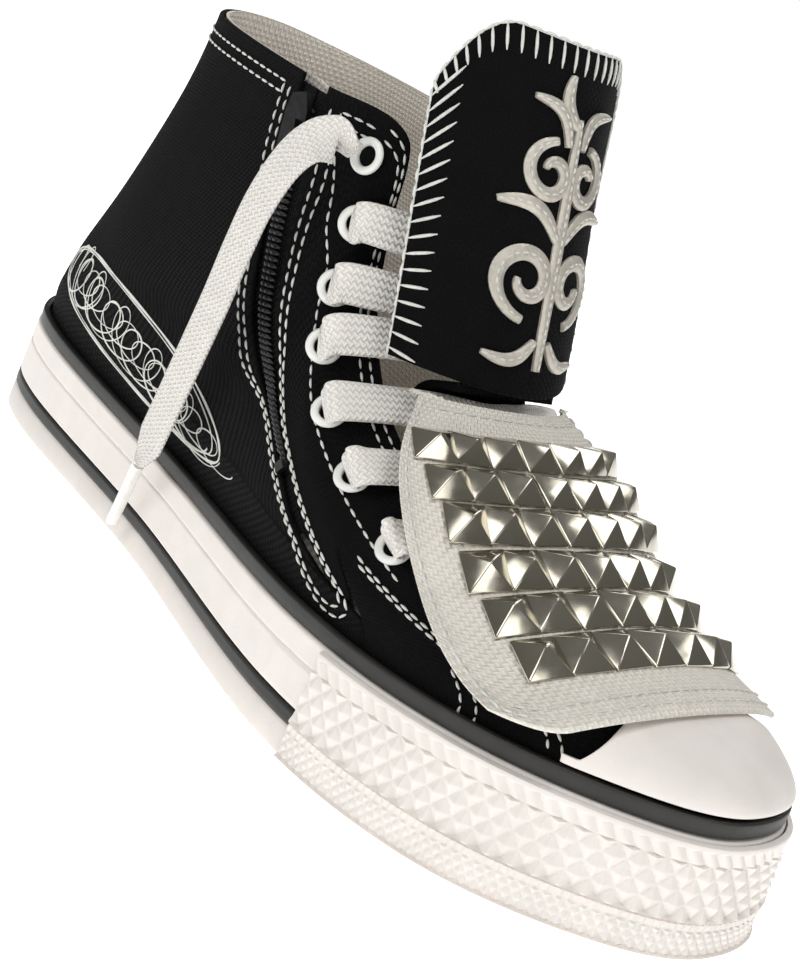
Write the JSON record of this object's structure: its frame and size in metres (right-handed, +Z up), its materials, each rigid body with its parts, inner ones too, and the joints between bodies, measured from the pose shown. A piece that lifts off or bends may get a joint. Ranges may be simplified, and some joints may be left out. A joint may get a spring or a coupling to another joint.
{
  "type": "platform high-top shoe",
  "caption": "Left platform high-top canvas shoe with a side zip, laced eyelets, a tall standing tongue, a folded-down studded flap and a thick textured rubber sole",
  "frame": {"origin": "under the middle of the sole, on the surface the shoe stands on", "axes": "+X points to the toe, +Y to the outer side of the foot, +Z up"},
  "size_m": [0.2823, 0.0955, 0.152],
  "materials": {
    "white_rubber": "matt moulded vulcanised rubber",
    "black_rubber": "satin calendered rubber strip",
    "foam": "matt sponge rubber",
    "board": "matt pressed fibre board",
    "stiffener": "matt resin-filled cloth",
    "lining_cotton": "plain-weave cotton",
    "black_canvas": "matt cotton canvas",
    "eyelet_enamel": "gloss white enamel",
    "zip_tape": "woven polyester tape",
    "zip_coil": "satin polyester coil",
    "zip_metal": "satin black lacquer",
    "lace_cotton": "flat woven cotton",
    "aglet_film": "gloss film",
    "applique_leather": "satin silver-grey coated",
    "cream_canvas": "matt cotton canvas",
    "stud_nickel": "bright warm nickel plate"
  },
  "bodies": {
    "shoe": {"outsole": "white_rubber", "foxing_wall": "white_rubber", "toe_bumper": "white_rubber", "heel_patch": "white_rubber", "toe_cap": "white_rubber", "foxing_stripe": "black_rubber", "top_band": "black_rubber", "midsole_core": "foam", "lasting_board": "board", "heel_counter": "stiffener", "toe_puff": "stiffener", "lining": "lining_cotton", "sockliner": "lining_cotton", "quarter_heel_medial": "black_canvas", "quarter_front_medial": "black_canvas", "quarter_lateral": "black_canvas", "vamp": "black_canvas", "backstay": "black_canvas", "tongue_lower": "black_canvas", "eyelet_medial_1": "eyelet_enamel", "eyelet_medial_2": "eyelet_enamel", "eyelet_medial_3": "eyelet_enamel", "eyelet_medial_4": "eyelet_enamel", "eyelet_medial_5": "eyelet_enamel", "eyelet_medial_6": "eyelet_enamel", "eyelet_medial_7": "eyelet_enamel", "eyelet_lateral_1": "eyelet_enamel", "eyelet_lateral_2": "eyelet_enamel", "eyelet_lateral_3": "eyelet_enamel", "eyelet_lateral_4": "eyelet_enamel", "eyelet_lateral_5": "eyelet_enamel", "eyelet_lateral_6": "eyelet_enamel", "eyelet_lateral_7": "eyelet_enamel", "zip_tape_front": "zip_tape", "zip_tape_rear": "zip_tape", "zip_coil_front": "zip_coil", "zip_coil_rear": "zip_coil", "zip_bottom_stop": "zip_metal", "lace_bar_2": "lace_cotton", "lace_bar_3": "lace_cotton", "lace_bar_4": "lace_cotton", "lace_bar_5": "lace_cotton", "lace_bar_6": "lace_cotton", "lace_bar_7": "lace_cotton", "lace_end_medial": "lace_cotton", "lace_end_lateral": "lace_cotton", "aglet_medial": "aglet_film", "aglet_lateral": "aglet_film"},
    "tongue": {"tongue_upper": "black_canvas", "tongue_ornament": "applique_leather"},
    "flap": {"studded_flap": "cream_canvas", "stud_row_1": "stud_nickel", "stud_row_2": "stud_nickel", "stud_row_3": "stud_nickel", "stud_row_4": "stud_nickel", "stud_row_5": "stud_nickel", "stud_row_6": "stud_nickel"},
    "slider": {"zip_slider": "zip_metal"},
    "pull": {"zip_pull": "zip_metal"}
  },
  "joints": [
    {"name": "tongue_fold", "type": "hinge", "parent": "shoe", "child": "tongue", "pos_m": [0.045, 0, 0.0788], "axis": [0, 1, 0], "range_deg": [0, 40]},
    {"name": "flap_lift", "type": "hinge", "parent": "shoe", "child": "flap", "pos_m": [0.0436, 0, 0.0758], "axis": [0, -1, 0], "range_deg": [0, 50]},
    {"name": "zip_slide", "type": "slide", "parent": "shoe", "child": "slider", "axis": [0.3042, -0.0708, -0.95], "range_m": [0, 0.04]},
    {"name": "pull_swing", "type": "hinge", "parent": "slider", "child": "pull", "pos_m": [-0.0225, -0.03372, 0.11471], "axis": [-0.9526, -0.0289, -0.3029], "range_deg": [0, 30]}
  ]
}
